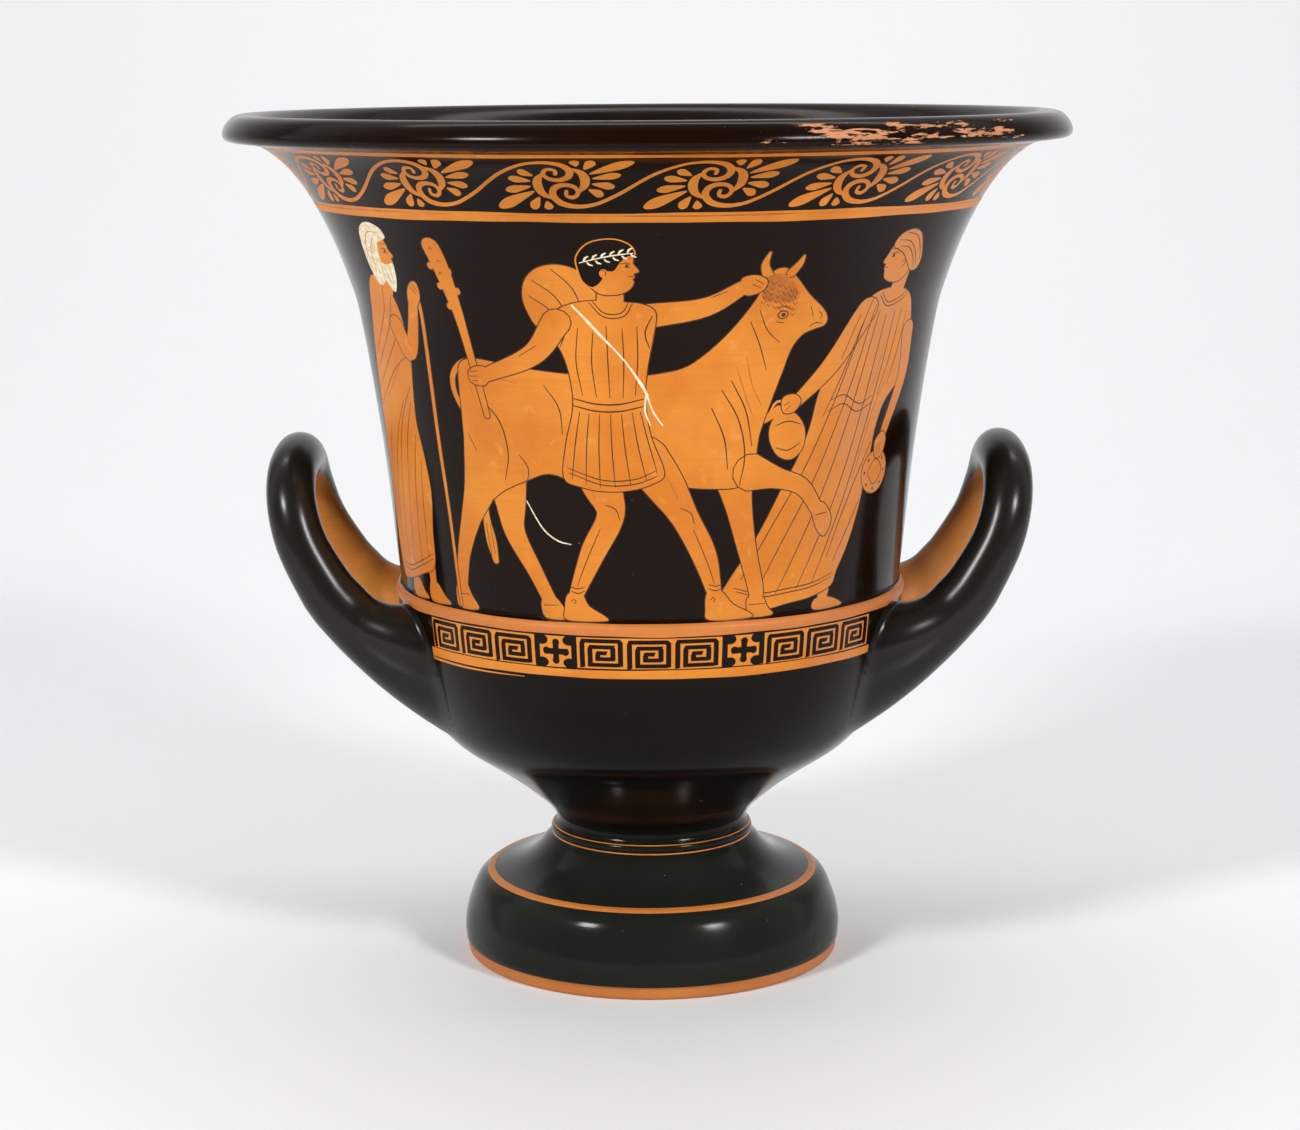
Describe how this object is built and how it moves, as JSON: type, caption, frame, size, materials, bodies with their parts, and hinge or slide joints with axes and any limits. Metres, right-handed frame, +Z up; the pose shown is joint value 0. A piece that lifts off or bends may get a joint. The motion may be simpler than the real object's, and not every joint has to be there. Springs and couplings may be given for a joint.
{
  "type": "greek krater",
  "caption": "Red-figure Greek calyx krater: a flaring terracotta mixing bowl with two loop handles, a stepped foot and a painted band of figures.",
  "frame": {"origin": "middle of the foot's resting ring, which is the bottom centre of the whole pot", "axes": "+Z up along the pot's axis, handles at +X and -X, the painted front faces -Y"},
  "size_m": [0.4006, 0.4006, 0.4102],
  "materials": {
    "black_gloss_clay": "glossy black slip over orange fired clay"
  },
  "bodies": {
    "root": {"krater": "black_gloss_clay"}
  },
  "joints": []
}
